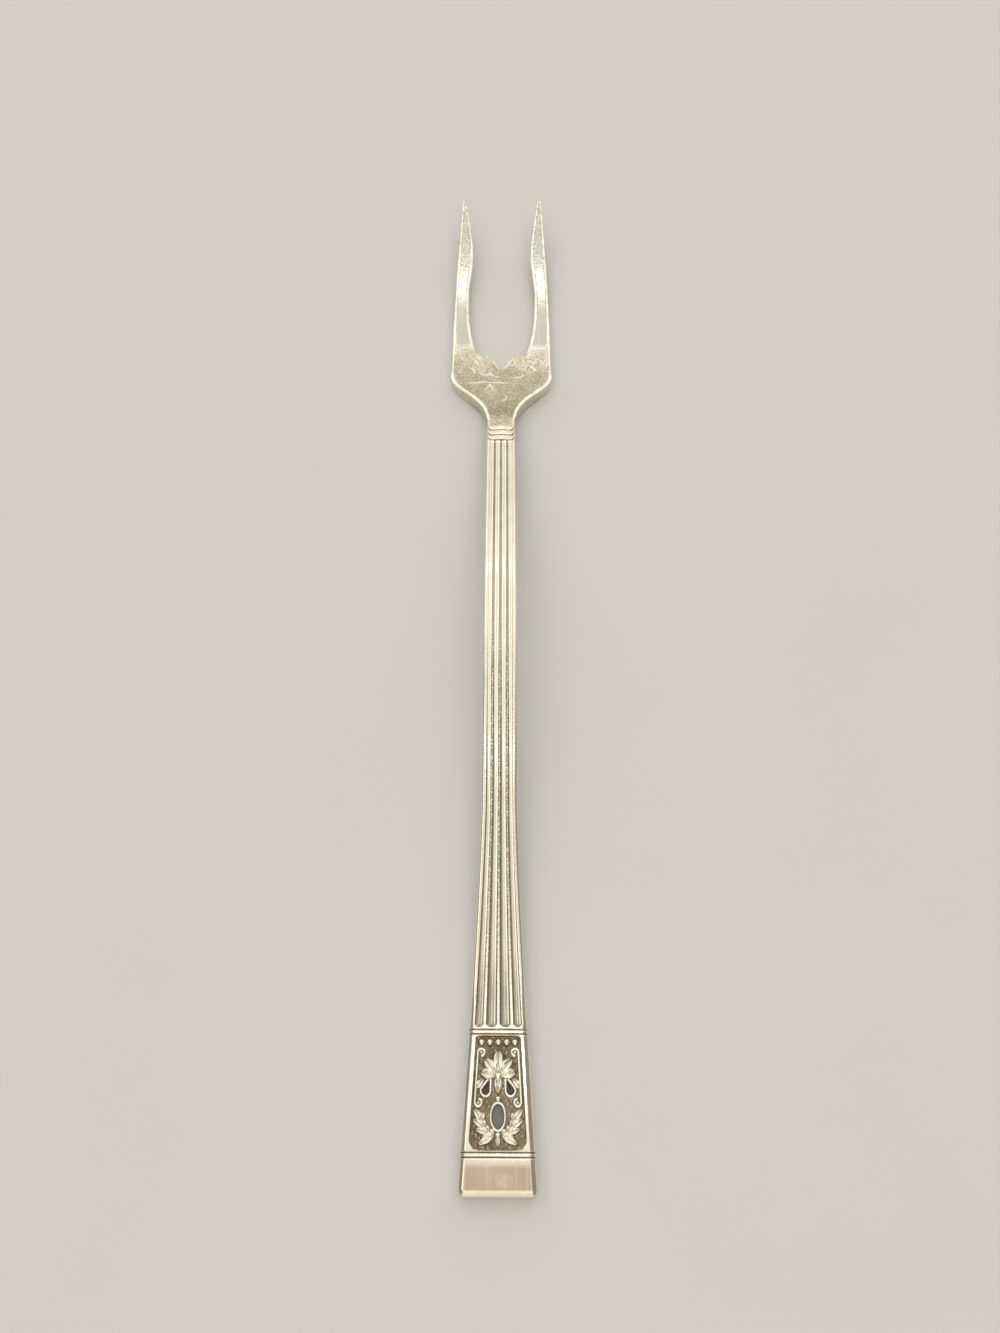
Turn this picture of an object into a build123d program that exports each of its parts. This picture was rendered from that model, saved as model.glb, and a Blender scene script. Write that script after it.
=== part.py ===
from build123d import *
import os
from math import acos, atan2, cos, degrees, pi, radians, sin, sqrt, tan

# A slim two-tined table fork, lying on its back. Millimetres, +Z up, tines towards +Y.
# The origin is under the middle of the fork, on the table.

# Lengths along the fork, from the end of the handle to the tips
tab_length = 3.5            # plain tab at the end of the handle
band_length = 0.9           # plain band with two cut lines, at each end of the panel
panel_length = 11.4         # pierced panel
fluted_length = 84.3        # flutes on the front of the shank, with their rounded ends
collar_seat = 1.75          # plain neck of the handle, up to the joint with the head
head_neck = 3.6             # plain neck of the head, above the joint
root_depth = 4.73           # shoulder to the corner of the slot
tine_length = 34.5          # corner of the slot to the tips

# Widths
end_width = 8.3             # flare of the shank, carried on to the end of the handle
neck_width = 4.4            # handle at the neck
flare_length = 42.5         # stretch of the handle that widens towards the end
flare_power = 1.3           # 1 would be a straight flare
head_width = 16.3           # across both tines at their roots
tip_spread = 13.2           # between the centres of the two tips
tip_width = 0.9
barb_width = 2.8            # tine across its barb
waist_width = 2.45          # tine across its slimmest stretch, below the barb
root_width = 4.2            # tine beside the corner of the slot
barb_from_tip = 12.5
waist_from_tip = 20.5
shoulder_sweep = 8.0        # radius of the hollow curve from the neck
shoulder_lean = 43.5        # degrees that a shoulder leans out
shoulder_round = 5.0        # radius of the shoulder's round corner
notch_depth = 3.6           # corner of the slot to the bottom of the notch between the humps
notch_radius = 0.55
notch_lean = 22.0           # degrees that a hump's side leans where it meets the notch
hump_lean = 10.0            # degrees that a hump falls where it leaves the corner of the slot
slot_corner = 0.8           # radius between a tine and its hump
root_lean = 16.0            # degrees that a tine's inner edge leans in at its root

# Heights and thicknesses
arch_rise = 5.5             # the handle's back above the table, at the top of its arch
tine_rise = 4.4             # the tips' underside above the table
heel_length = 6.0           # flat under the root of the tines, on the table
neck_thickness = 2.4
end_thickness = 2.0
root_thickness = 1.7
tip_thickness = 0.9
edge_round = 0.4            # long edges of the front
back_round = 0.3            # long edges of the back
end_corner = 0.7            # corners of the handle's end, seen from the front
end_proud = 0.05            # step from the shank out to the sides of the end

# Flutes on the front of the shank
flute_share = 0.2           # depth of a flute against its width
flute_border = 0.2          # flat land between a flute and the rounded edge
outer_flute_share = 0.78    # width of an outer flute against an inner one
ridge_width = 0.3           # flat ridge between two flutes
flute_end = 0.4             # length of a flute's rounded end
shank_stations = 10

# Beads across the neck
bead_count = 3
bead_radius = 0.45
bead_pitch = 1.18
bead_offset = 0.4           # middle bead above the joint
bead_inset = 0.3            # from the side of the neck

# Joint between head and handle
tang_length = 9.0
tang_root = 1.0             # start of the tang inside the head
tang_width = 2.0
tang_thickness = 0.9
joint_gap = 0.04            # filled with solder

# Cut lines in the bands
line_width = 0.18
line_depth = 0.12
line_inset = 0.22           # from the ends of a band

# Pierced panel in the end of the handle
rail_width = 0.85           # side rail left beside the panel
panel_corner = 1.1          # radius of its two lower corners
ledge_width = 0.4           # step that carries the panel
ledge_height = 0.8          # its height above the back
panel_recess = 0.5          # face of the panel below the front of the rails
panel_back = 0.1            # back of the panel above the back of the handle
drop_length = 2.0           # pair of drop-shaped piercings
drop_radius = 0.45
drop_spread = 2.7
drop_lean = 20.0            # degrees from the fork's axis
drop_from_top = 5.6
oval_length = 2.6           # oval piercing inside the sprays
oval_width = 1.4
oval_from_bottom = 3.25

# Relief on the panel
row_count = 5
row_radius = 0.42
row_pitch = 0.92
row_from_top = 0.6
petal_count = 5
petal_length = 2.9
petal_width = 1.0
petal_shrink = 0.4          # each petal is this much shorter than its inner neighbour
petal_fan = 36.0            # degrees between petals
petal_from_top = 4.15
bud_length = 1.9
bud_width = 1.0
boss_radius = 0.5
spray_radius = 1.82         # circle that the stems of the sprays follow
spray_start = 14.0          # degrees from straight down
spray_step = 22.0           # degrees between leaves
stem_radius = 0.14
leaf_count = 4
leaf_width = 0.8
outer_leaf_length = 1.5
outer_leaf_lean = 26.0      # degrees that a leaf turns out of the circle
inner_leaf_length = 0.9
inner_leaf_lean = 24.0      # degrees that a leaf turns into the circle
tail_length = 2.1           # leaf that hangs from the start of each spray
tail_lean = 60.0            # degrees from straight down
scroll_from_rail = 0.28     # stem of a side scroll from the rail that it follows
scroll_top = 1.65           # upper end of the stem from the top of the panel
scroll_low = 6.75           # lower end of the stem from the top of the panel
scroll_radius = 0.15        # thickness of the stem, as a radius
curl_radius = 0.37          # curl at each end of a side scroll
curl_turn = 290.0           # degrees that it turns
eye_radius = 0.26           # dome inside a curl
sprig_length = 1.5          # leaf on a side scroll
sprig_width = 0.7
sprig_lean = 36.0           # degrees from the stem
sprig_from_low = 1.4        # along the stem, from its lower end
berry_radius = 0.36

# Stations along Y
plain_end = tab_length + 2 * band_length + panel_length
shoulder_width = (head_width - neck_width) / 2
shoulder_radii = shoulder_sweep + shoulder_round
shoulder_straight = shoulder_width - shoulder_radii * (1 - cos(radians(shoulder_lean)))
shoulder_rise = shoulder_radii * sin(radians(shoulder_lean)) + shoulder_straight / tan(radians(shoulder_lean))
handle_length = plain_end + fluted_length + collar_seat
head_length = head_neck + shoulder_rise + root_depth + tine_length
end_y = -(handle_length + head_length) / 2
panel_low_y = end_y + tab_length + band_length
panel_top_y = panel_low_y + panel_length
flute_low_y = panel_top_y + band_length
flute_top_y = flute_low_y + fluted_length
straight_low_y = flute_low_y + flute_end
straight_top_y = flute_top_y - flute_end
joint_y = flute_top_y + collar_seat
sweep_y = joint_y + head_neck
shoulder_y = sweep_y + shoulder_rise
slot_y = shoulder_y + root_depth
tip_y = slot_y + tine_length
notch_y = slot_y - notch_depth
heel_y = slot_y - heel_length / 2
flare_y = end_y + flare_length
arch_length = heel_y - straight_low_y
neck_slope = arch_rise * pi / arch_length * sin(2 * pi * (straight_top_y - straight_low_y) / arch_length)


def half_width(y):
    """Half the width of the handle at a station."""
    share = max(0.0, (flare_y - y) / flare_length)
    return neck_width / 2 + (end_width - neck_width) / 2 * share**flare_power


def back_height(y):
    """Height of the back above the table: flat under the panel, arched, then straight at the neck."""
    share = max(0.0, (min(y, straight_top_y) - straight_low_y) / arch_length)
    return arch_rise * sin(pi * share) ** 2 + neck_slope * max(0.0, y - straight_top_y)


def thickness(y):
    """Thickness of the handle: even under the panel and at the neck, tapered between them."""
    share = (y - straight_low_y) / (straight_top_y - straight_low_y)
    return end_thickness + (neck_thickness - end_thickness) * min(1.0, max(0.0, share))


def flutes(y):
    """Distances of the two edges of each flute on one side from the fork's axis, from the axis outwards."""
    room = half_width(y) - edge_round - flute_border
    inner_width = (room - 1.5 * ridge_width) / (1 + outer_flute_share)
    inner_edge = ridge_width / 2 + inner_width
    return [(ridge_width / 2, inner_edge), (inner_edge + ridge_width, room)]


def handle_section(y, fluted):
    """Section across the handle, with two flutes each side of the axis or a plain front."""
    half = half_width(y)
    low = back_height(y)
    top = low + thickness(y)
    with BuildSketch(Plane.XZ.offset(-y)) as section:
        with BuildLine():
            Line((0, low), (half - back_round, low))
            TangentArc((half - back_round, low), (half, low + back_round), tangent=(1, 0))
            Line((half, low + back_round), (half, top - edge_round))
            TangentArc((half, top - edge_round), (half - edge_round, top), tangent=(0, 1))
            reached = half - edge_round
            if fluted:
                for inner, outer in reversed(flutes(y)):
                    Line((reached, top), (outer, top))
                    low_point = ((inner + outer) / 2, top - flute_share * (outer - inner))
                    ThreePointArc((outer, top), low_point, (inner, top))
                    reached = inner
            Line((reached, top), (0, top))
            mirror(about=Plane.YZ)
        make_face()
    return section.sketch


def panel_outline(inset):
    """Outline of the pierced panel, drawn in by an inset."""
    low_half = half_width(panel_low_y) - rail_width - inset
    top_half = half_width(panel_top_y) - rail_width - inset
    low = panel_low_y + inset
    top = panel_top_y - inset
    with BuildSketch() as outline:
        with BuildLine():
            Polyline((-low_half, low), (low_half, low), (top_half, top), (-top_half, top), close=True)
        make_face()
        fillet(outline.vertices().group_by(Axis.Y)[0], panel_corner - inset)
    return outline.sketch


def stepped_insert(gap, low, top):
    """The panel's step, or its seat when the gap is nothing."""
    with BuildPart() as insert:
        with BuildSketch(Plane.XY.offset(ledge_height)):
            add(panel_outline(gap))
        extrude(amount=top - ledge_height)
        with BuildSketch(Plane.XY.offset(low)):
            add(panel_outline(ledge_width + gap))
        extrude(amount=ledge_height - low)
    return insert.part


def tang(gap, start):
    """Straight tang that follows the back's slope at the joint, or its socket with a gap."""
    run = Vector(0, -1, -neck_slope).normalized()
    middle = Vector(0, joint_y, back_height(joint_y) + neck_thickness / 2)
    with BuildPart() as bar:
        with BuildSketch(Plane(origin=middle - run * start, x_dir=(1, 0, 0), z_dir=run)):
            Rectangle(tang_width + 2 * gap, tang_thickness + 2 * gap)
        extrude(amount=tang_length + start + gap)
    return bar.part


os.makedirs("parts", exist_ok=True)

# Fork head: plan of the tines, root, shoulders and neck
tip_round = tip_width / 2
tip_x = tip_spread / 2
outer_x = head_width / 2
barb_y = tip_y - barb_from_tip
waist_y = tip_y - waist_from_tip


def outer_edge(y):
    """Distance of a tine's outer edge from the axis: upright at the root, drawn in to the tip."""
    share = (y - slot_y) / tine_length
    return outer_x - (outer_x - tip_x - tip_round) * share**2


def heading(angle):
    """Direction in plan, in degrees from +X."""
    return Vector(cos(radians(angle)), sin(radians(angle)))


with BuildSketch() as head_plan:
    with BuildLine():
        Line((0, joint_y), (neck_width / 2, joint_y))
        Line((neck_width / 2, joint_y), (neck_width / 2, sweep_y))
        hollow = JernArc((neck_width / 2, sweep_y), (0, 1), shoulder_sweep, -shoulder_lean)
        straight = shoulder_straight / sin(radians(shoulder_lean))
        slant = Line(hollow @ 1, hollow @ 1 + heading(90 - shoulder_lean) * straight)
        corner = JernArc(slant @ 1, heading(90 - shoulder_lean), shoulder_round, shoulder_lean)
        Line(corner @ 1, (outer_x, slot_y))
        barb = Vector(outer_edge(barb_y) - barb_width, barb_y)
        waist = Vector(outer_edge(waist_y) - waist_width, waist_y)
        tip_centre = Vector(tip_x, tip_y - tip_round)
        outer_lean = degrees(atan2(2 * (outer_x - tip_x - tip_round), tine_length))
        inner_lean = degrees(atan2(tip_x - tip_round - barb.X, tip_y - barb_y))
        outer_tip = tip_centre + heading(outer_lean) * tip_round
        inner_tip = tip_centre + heading(180 - inner_lean) * tip_round
        Spline((outer_x, slot_y), outer_tip, tangents=[(0, 1), heading(90 + outer_lean)])
        ThreePointArc(outer_tip, (tip_x, tip_y), inner_tip)
        slot_end = Vector(outer_x - root_width, slot_y)
        corner_run = slot_corner * tan(radians(90 - root_lean - hump_lean) / 2)
        above_corner = slot_end + heading(90 - root_lean) * corner_run
        below_corner = slot_end + heading(180 + hump_lean) * corner_run
        tine_headings = [heading(270 - inner_lean), heading(270), heading(270), heading(270 - root_lean)]
        Spline(inner_tip, barb, waist, above_corner, tangents=tine_headings)
        TangentArc(above_corner, below_corner, tangent=heading(270 - root_lean))
        notch_side = Vector(0, notch_y + notch_radius) + heading(-notch_lean) * notch_radius
        Spline(below_corner, notch_side, tangents=[heading(180 + hump_lean), heading(270 - notch_lean)])
        TangentArc(notch_side, (0, notch_y), tangent=heading(270 - notch_lean))
        mirror(about=Plane.YZ)
    make_face()

# Fork head: side profile between the back and the front
with BuildSketch(Plane.YZ.offset(-head_width)) as head_profile:
    with BuildLine():
        heel_end = slot_y + heel_length / 2
        joint_low = Vector(joint_y, back_height(joint_y))
        sweep_low = Vector(sweep_y, back_height(sweep_y))
        joint_top = joint_low + (0, neck_thickness)
        sweep_top = sweep_low + (0, neck_thickness)
        Line(joint_low, sweep_low)
        Spline(sweep_low, (heel_y, 0), tangents=[(1, neck_slope), (1, 0)])
        Line((heel_y, 0), (heel_end, 0))
        TangentArc((heel_end, 0), (tip_y, tine_rise), tangent=(1, 0))
        Line((tip_y, tine_rise), (tip_y, tine_rise + tip_thickness))
        TangentArc((heel_end, root_thickness), (tip_y, tine_rise + tip_thickness), tangent=(1, 0))
        Line((heel_end, root_thickness), (heel_y, root_thickness))
        Spline(sweep_top, (heel_y, root_thickness), tangents=[(1, neck_slope), (1, 0)])
        Line(sweep_top, joint_top)
        Line(joint_top, joint_low)
    make_face()

with BuildPart() as fork_head:
    add(head_plan.sketch)
    extrude(amount=arch_rise + tine_rise + neck_thickness)
    extrude(head_profile.sketch, amount=2 * head_width, mode=Mode.INTERSECT)
    front = fork_head.faces().filter_by(lambda face: face.normal_at().Z > 0.5)
    fillet(front.edges().filter_by(Axis.X, reverse=True), edge_round)
    back = fork_head.faces().filter_by(lambda face: face.normal_at().Z < -0.5)
    fillet(back.edges().filter_by(Axis.X, reverse=True), back_round)
    add(tang(0, tang_root))
fork_head.part.label = "fork_head"
export_step(fork_head.part, "parts/fork_head.step")

# Handle: fluted shank, plain neck and plain end, with the tang's socket and the panel's seat
with BuildPart() as handle:
    with BuildSketch() as end_plan:
        with BuildLine():
            low_half = half_width(end_y) + end_proud
            top_half = half_width(straight_low_y) + end_proud
            low_side = Line((-low_half, end_y), (low_half, end_y))
            right_side = Line(low_side @ 1, (top_half, straight_low_y))
            top_side = Line(right_side @ 1, (-top_half, straight_low_y))
            Line(top_side @ 1, low_side @ 0)
        make_face()
        fillet(end_plan.vertices().group_by(Axis.Y)[0], end_corner)
    extrude(amount=end_thickness)
    fillet(handle.faces().sort_by(Axis.Z)[-1].edges().sort_by(Axis.Y)[:-1], edge_round)
    fillet(handle.faces().sort_by(Axis.Z)[0].edges().sort_by(Axis.Y)[:-1], back_round)
    station_gap = (straight_top_y - straight_low_y) / (shank_stations - 1)
    shank = [straight_low_y + station_gap * i for i in range(shank_stations)]
    loft(sections=[handle_section(y, True) for y in shank])
    loft(sections=[handle_section(y, False) for y in (straight_top_y, joint_y)])
    for y, start in ((straight_low_y, -90), (straight_top_y, 0)):
        top = back_height(y) + thickness(y)
        for inner, outer in flutes(y):
            half_chord = (outer - inner) / 2
            depth = flute_share * (outer - inner)
            radius = (half_chord**2 + depth**2) / (2 * depth)
            reach = flute_end * radius / half_chord
            for side in (-1, 1):
                middle = Vector(side * (inner + outer) / 2, y, top + radius - depth)
                with BuildSketch(Plane(origin=middle, x_dir=(1, 0, 0), z_dir=(0, 0, 1))):
                    with BuildLine():
                        quarter = EllipticalCenterArc((0, 0), radius, reach, start_angle=start, arc_size=90)
                        Polyline(quarter @ 1, (0, 0), quarter @ 0)
                    make_face()
                revolve(axis=Axis(middle, (0, 1, 0)), mode=Mode.SUBTRACT)
    for low, high in ((end_y + tab_length, panel_low_y), (panel_top_y, flute_low_y)):
        for y in (low + line_inset, high - line_inset):
            with Locations((0, y, end_thickness)):
                Box(2 * (half_width(y) - edge_round), line_width, 2 * line_depth, mode=Mode.SUBTRACT)
    add(stepped_insert(0, -end_thickness, 2 * end_thickness), mode=Mode.SUBTRACT)
    add(tang(joint_gap, tang_root), mode=Mode.SUBTRACT)
handle.part.label = "handle"
export_step(handle.part, "parts/handle.step")

# Collar: half-round beads across the front of the neck
neck_front = Plane(
    origin=(0, joint_y, back_height(joint_y) + neck_thickness), x_dir=(1, 0, 0), z_dir=(0, -neck_slope, 1)
)
with BuildPart() as collar_beads:
    bead_reach = neck_width / 2 - bead_inset
    for i in range(bead_count):
        run = bead_offset + (i - (bead_count - 1) / 2) * bead_pitch
        with BuildSketch(neck_front):
            with Locations((0, run)):
                SlotOverall(2 * bead_reach, 2 * bead_radius)
            split(bisect_by=Plane.XZ.offset(-run), keep=Keep.BOTTOM)
        revolve(axis=Axis(neck_front.from_local_coords((0, run, 0)), (1, 0, 0)), revolution_arc=180)
collar_beads.part.label = "collar_beads"
export_step(collar_beads.part, "parts/collar_beads.step")

# Pierced panel: stepped insert with two drops and an oval cut through it
face_z = end_thickness - panel_recess
spray_y = panel_low_y + oval_from_bottom
with BuildPart() as openwork_panel:
    add(stepped_insert(joint_gap, panel_back, face_z))
    for side in (-1, 1):
        lean = heading(90 + side * drop_lean)
        middle = Vector(side * drop_spread / 2, panel_top_y - drop_from_top)
        with BuildSketch(Plane(origin=middle, x_dir=lean, z_dir=(0, 0, 1))):
            with BuildLine():
                point = Vector(drop_length - drop_radius, 0)
                turn = degrees(acos(drop_radius / point.X))
                near = heading(turn) * drop_radius
                far = heading(-turn) * drop_radius
                Line(point, near)
                ThreePointArc(near, (-drop_radius, 0), far)
                Line(far, point)
            make_face()
        extrude(amount=end_thickness, mode=Mode.SUBTRACT)
    with BuildSketch(Plane(origin=(0, spray_y, 0))):
        Ellipse(oval_width / 2, oval_length / 2)
    extrude(amount=end_thickness, mode=Mode.SUBTRACT)
openwork_panel.part.label = "openwork_panel"
export_step(openwork_panel.part, "parts/openwork_panel.step")


def half_leaf(start, angle, length, width):
    """Outline of half a pointed leaf on the panel, and the chord that it turns about."""
    root = start + (0, 0, face_z)
    along = heading(angle)
    with BuildSketch(Plane(origin=root, x_dir=along, z_dir=(0, 0, 1))) as leaf:
        with BuildLine():
            ThreePointArc((0, 0), (length / 2, width / 2), (length, 0))
            Line((length, 0), (0, 0))
        make_face()
    return leaf.sketch, Axis(root, along)


def dome(x, y, radius):
    """Half of a ball standing on the panel."""
    with BuildPart() as ball:
        with Locations((x, y, face_z)):
            Sphere(radius, arc_size1=0, align=(Align.CENTER, Align.CENTER, Align.MIN))
    return ball.part


# Row of small domes along the top of the panel
with BuildPart() as bead_row:
    for i in range(row_count):
        add(dome((i - (row_count - 1) / 2) * row_pitch, panel_top_y - row_from_top, row_radius))
bead_row.part.label = "bead_row"
export_step(bead_row.part, "parts/bead_row.step")

# Fan of petals on a boss, with a bud below
with BuildPart() as palmette:
    petal_root = Vector(0, panel_top_y - petal_from_top)
    for i in range(petal_count):
        step = i - (petal_count - 1) / 2
        length = petal_length - petal_shrink * abs(step)
        petal, chord = half_leaf(petal_root, 90 + petal_fan * step, length, petal_width)
        revolve(petal, axis=chord, revolution_arc=180)
    bud, chord = half_leaf(petal_root, -90, bud_length, bud_width)
    revolve(bud, axis=chord, revolution_arc=180)
    add(dome(petal_root.X, petal_root.Y, boss_radius))
palmette.part.label = "palmette"
export_step(palmette.part, "parts/palmette.step")

# Two scrolls that follow the side rails, each with a curl at both ends and a leaf that leans in
with BuildPart() as side_scrolls:
    for side in (-1, 1):
        ends = []
        for from_top in (scroll_low, scroll_top):
            y = panel_top_y - from_top
            ends.append(Vector(side * (half_width(y) - rail_width - scroll_from_rail), y, face_z))
        run = ends[1] - ends[0]
        way = run.normalized()
        across = Vector(0, 0, 1).cross(way)
        with BuildSketch(Plane(origin=ends[0], x_dir=across, z_dir=way)):
            Circle(scroll_radius)
            split(bisect_by=Plane.XZ, keep=Keep.BOTTOM)
        extrude(amount=run.length)
        for end, turn in zip(ends, (-side * curl_turn, side * curl_turn)):
            radial = across * -side
            middle = end - radial * curl_radius
            with BuildSketch(Plane(origin=middle, x_dir=radial, z_dir=radial.cross(Vector(0, 0, 1)))):
                with Locations((curl_radius, 0)):
                    Circle(scroll_radius)
                split(bisect_by=Plane.XZ, keep=Keep.BOTTOM)
            revolve(axis=Axis(middle, (0, 0, 1)), revolution_arc=turn)
            add(dome(middle.X, middle.Y, eye_radius))
        root = ends[0] + way * sprig_from_low
        sprig_angle = degrees(atan2(way.Y, way.X)) + side * sprig_lean
        sprig, chord = half_leaf(Vector(root.X, root.Y), sprig_angle, sprig_length, sprig_width)
        revolve(sprig, axis=chord, revolution_arc=180)
side_scrolls.part.label = "side_scrolls"
export_step(side_scrolls.part, "parts/side_scrolls.step")

# Two sprays of leaves on stems that curve round the oval, each with a leaf that hangs from its start
with BuildPart() as leaf_sprays:
    spray_centre = Vector(0, spray_y, face_z)
    for side in (-1, 1):
        radial = heading(-90 + side * spray_start)
        with BuildSketch(Plane(origin=spray_centre, x_dir=radial, z_dir=radial.cross(Vector(0, 0, 1)))):
            with Locations((spray_radius, 0)):
                Circle(stem_radius)
            split(bisect_by=Plane.XZ, keep=Keep.BOTTOM)
        revolve(axis=Axis(spray_centre, (0, 0, 1)), revolution_arc=side * spray_step * leaf_count)
        for i in range(leaf_count):
            place = -90 + side * (spray_start + spray_step * i)
            root = Vector(0, spray_y) + heading(place) * spray_radius
            for lean, length in ((-outer_leaf_lean, outer_leaf_length), (inner_leaf_lean, inner_leaf_length)):
                leaf, chord = half_leaf(root, place + side * (90 + lean), length, leaf_width)
                revolve(leaf, axis=chord, revolution_arc=180)
        root = Vector(0, spray_y) + radial * spray_radius
        tail, chord = half_leaf(root, -90 + side * tail_lean, tail_length, leaf_width)
        revolve(tail, axis=chord, revolution_arc=180)
leaf_sprays.part.label = "leaf_sprays"
export_step(leaf_sprays.part, "parts/leaf_sprays.step")

# Berries: one where the sprays part, one under the bud
with BuildPart() as berries:
    add(dome(0, spray_y - spray_radius, berry_radius))
    add(dome(0, petal_root.Y - bud_length - berry_radius, berry_radius))
berries.part.label = "berries"
export_step(berries.part, "parts/berries.step")
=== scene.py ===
from math import acos, atan, atan2, cos, degrees, exp, pi, radians, sin, sqrt

import bmesh
import bpy
from mathutils import Matrix, Vector


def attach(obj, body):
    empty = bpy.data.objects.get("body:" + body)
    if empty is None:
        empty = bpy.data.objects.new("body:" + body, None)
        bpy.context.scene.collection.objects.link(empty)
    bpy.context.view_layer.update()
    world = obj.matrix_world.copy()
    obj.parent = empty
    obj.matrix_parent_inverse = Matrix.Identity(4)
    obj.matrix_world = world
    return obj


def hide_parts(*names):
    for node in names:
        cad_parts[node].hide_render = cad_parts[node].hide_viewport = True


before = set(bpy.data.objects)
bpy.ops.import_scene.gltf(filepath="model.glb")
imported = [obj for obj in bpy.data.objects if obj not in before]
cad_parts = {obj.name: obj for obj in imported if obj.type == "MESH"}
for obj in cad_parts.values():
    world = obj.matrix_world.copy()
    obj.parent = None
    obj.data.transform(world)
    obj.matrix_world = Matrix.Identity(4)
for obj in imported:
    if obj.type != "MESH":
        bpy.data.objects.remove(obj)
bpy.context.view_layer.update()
print("frame loaded:", ", ".join(sorted(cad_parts)))

mm = 0.001  # the sizes below are millimetres, the scene is in metres

# stations along the fork, from the end of the handle to the tips
fork = {
    "endY": -78.5173, "tabTopY": -75.0173, "panelLowY": -74.1173, "panelTopY": -62.7173,
    "fluteLowY": -61.8173, "straightLowY": -61.4173, "straightTopY": 22.0827, "fluteTopY": 22.8427,
    "jointY": 24.2327, "sweepY": 27.8327, "notchY": 40.4173, "heelY": 41.0173, "heelEndY": 47.0173,
    "tipY": 78.5173,
}

# points closer than this are one point
weld = {"plate": 0.0008, "axis": 0.0005, "mirror": 0.001, "sliver": 0.0004, "grid": 0.0005, "relief": 0.0003}


def clamp(value, low=0.0, high=1.0):
    return max(low, min(high, value))


def ease(start, full, value):
    # from 0 to 1; it falls as the value grows where start is more than full
    share = clamp((value - start) / (full - start))
    return share * share * (3 - 2 * share)


def total(layers, measures):
    # a layer is a strength and the measures that it eases in with
    amount = 0.0
    for strength, *stretches in layers:
        for name, start, full in stretches:
            strength *= ease(start, full, measures[name])
        amount += strength
    return amount


def bell(value, height, width):
    return height * exp(-((value / width) ** 2))


def heading(angle):
    return Vector((cos(radians(angle)), sin(radians(angle))))


# runs of points in plan, each with the way it is heading


def traceKnots(knots, steps=24):
    # knots are x, y and heading; the curve is a true arc where two knots lie on one
    run = []
    for before, after in zip(knots, knots[1:]):
        start, end = Vector(before[:2]), Vector(after[:2])
        turn = radians(after[2] - before[2])
        reach = (end - start).length / (3 * cos(turn / 4) ** 2)
        bend, lean = start + heading(before[2]) * reach, end - heading(after[2]) * reach
        for step in range(0 if not run else 1, steps + 1):
            t = step / steps
            s = 1 - t
            point = start * s**3 + bend * 3 * s * s * t + lean * 3 * s * t * t + end * t**3
            way = (bend - start) * s * s + (lean - bend) * 2 * s * t + (end - lean) * t * t
            run.append((point, way.normalized()))
    return run


def traceSide(sideX, low, high, steps=160, nudge=0.01):
    run = []
    for step in range(steps + 1):
        y = low + (high - low) * step / steps
        way = Vector((sideX(y + nudge) - sideX(y - nudge), 2 * nudge))
        run.append((Vector((sideX(y), y)), way.normalized()))
    return run


def axisRun(low, high):
    return [(Vector((0, y)), Vector((0, 1))) for y in (low, high)]


def evenly(run, count, tiny=1e-9):
    # the same run at evenly spaced points
    lengths = [0.0]
    for before, after in zip(run, run[1:]):
        lengths.append(lengths[-1] + (after[0] - before[0]).length)
    spaced, k = [], 0
    for step in range(count + 1):
        goal = lengths[-1] * step / count
        while k < len(run) - 2 and lengths[k + 1] < goal:
            k += 1
        t = clamp((goal - lengths[k]) / max(tiny, lengths[k + 1] - lengths[k]))
        point = run[k][0].lerp(run[k + 1][0], t)
        spaced.append((point, run[k][1].lerp(run[k + 1][1], t).normalized()))
    return spaced


def pairUp(edges, counts):
    # stations across one half of the fork; where cut, the inner run is an edge of the metal, not the axis
    stations = []
    for (innerRun, outerRun, cut), count in zip(edges, counts):
        for (inPoint, inWay), (outPoint, outWay) in zip(evenly(innerRun, count), evenly(outerRun, count)):
            inward, outward = Vector((inWay.y, -inWay.x)), Vector((-outWay.y, outWay.x))
            stations.append((inPoint, inward, outPoint, outward, cut))
    return stations


# half of a plate between two runs, mirrored to the whole


def mixRims(first, second, share):
    # a rim is its width, its depth and a power, 1 for round and more for flatter
    return [a * (1 - share) + b * share for a, b in zip(first, second)]


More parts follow.
